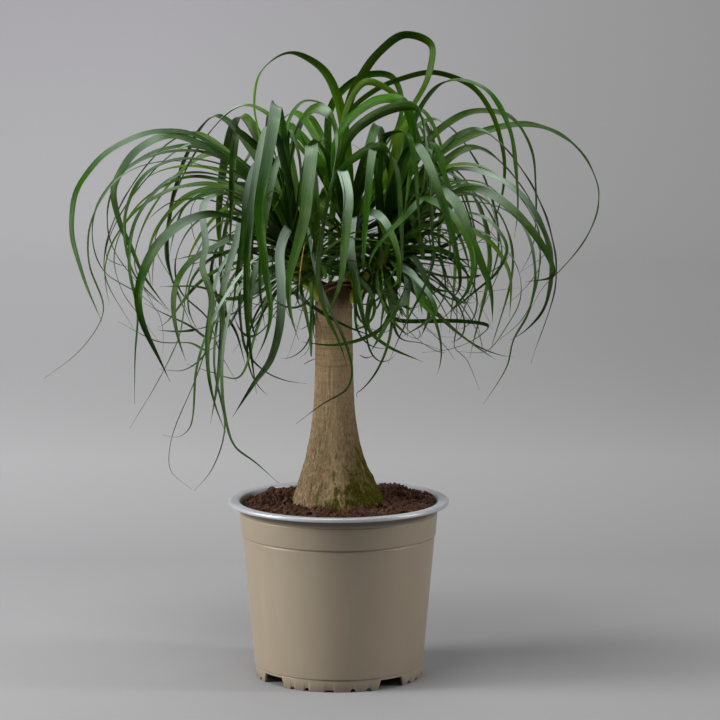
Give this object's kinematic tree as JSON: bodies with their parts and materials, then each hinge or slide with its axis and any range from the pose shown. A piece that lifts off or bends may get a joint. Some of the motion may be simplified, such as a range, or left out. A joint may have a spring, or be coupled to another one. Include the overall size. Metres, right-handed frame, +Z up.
{
  "type": "potted ponytail palm",
  "caption": "Potted ponytail palm: a flared bark trunk with heads of long arching ribbon leaves, standing in soil in a tapered plastic nursery pot.",
  "frame": {"origin": "middle of the pot's foot on the surface it stands on", "axes": "+Z up along the pot's axis; -Y towards the front of the plant, +X to the right as seen from the front"},
  "size_m": [0.5162, 0.4721, 0.615],
  "materials": {
    "pot_plastic": "satin taupe thermoformed plastic, silver grey inside and on the rim",
    "soil": "loose dark brown potting soil with bark and fibre crumbs",
    "bark": "tan fibrous bark with pale streaks, green with moss low on the right",
    "leaf": "smooth waxy green leaf, paler where it faces the light"
  },
  "bodies": {
    "root": {"pot": "pot_plastic", "soil": "soil", "trunk": "bark", "leaf_head_left": "leaf", "leaf_head_back": "leaf", "leaf_head_right": "leaf"}
  },
  "joints": []
}
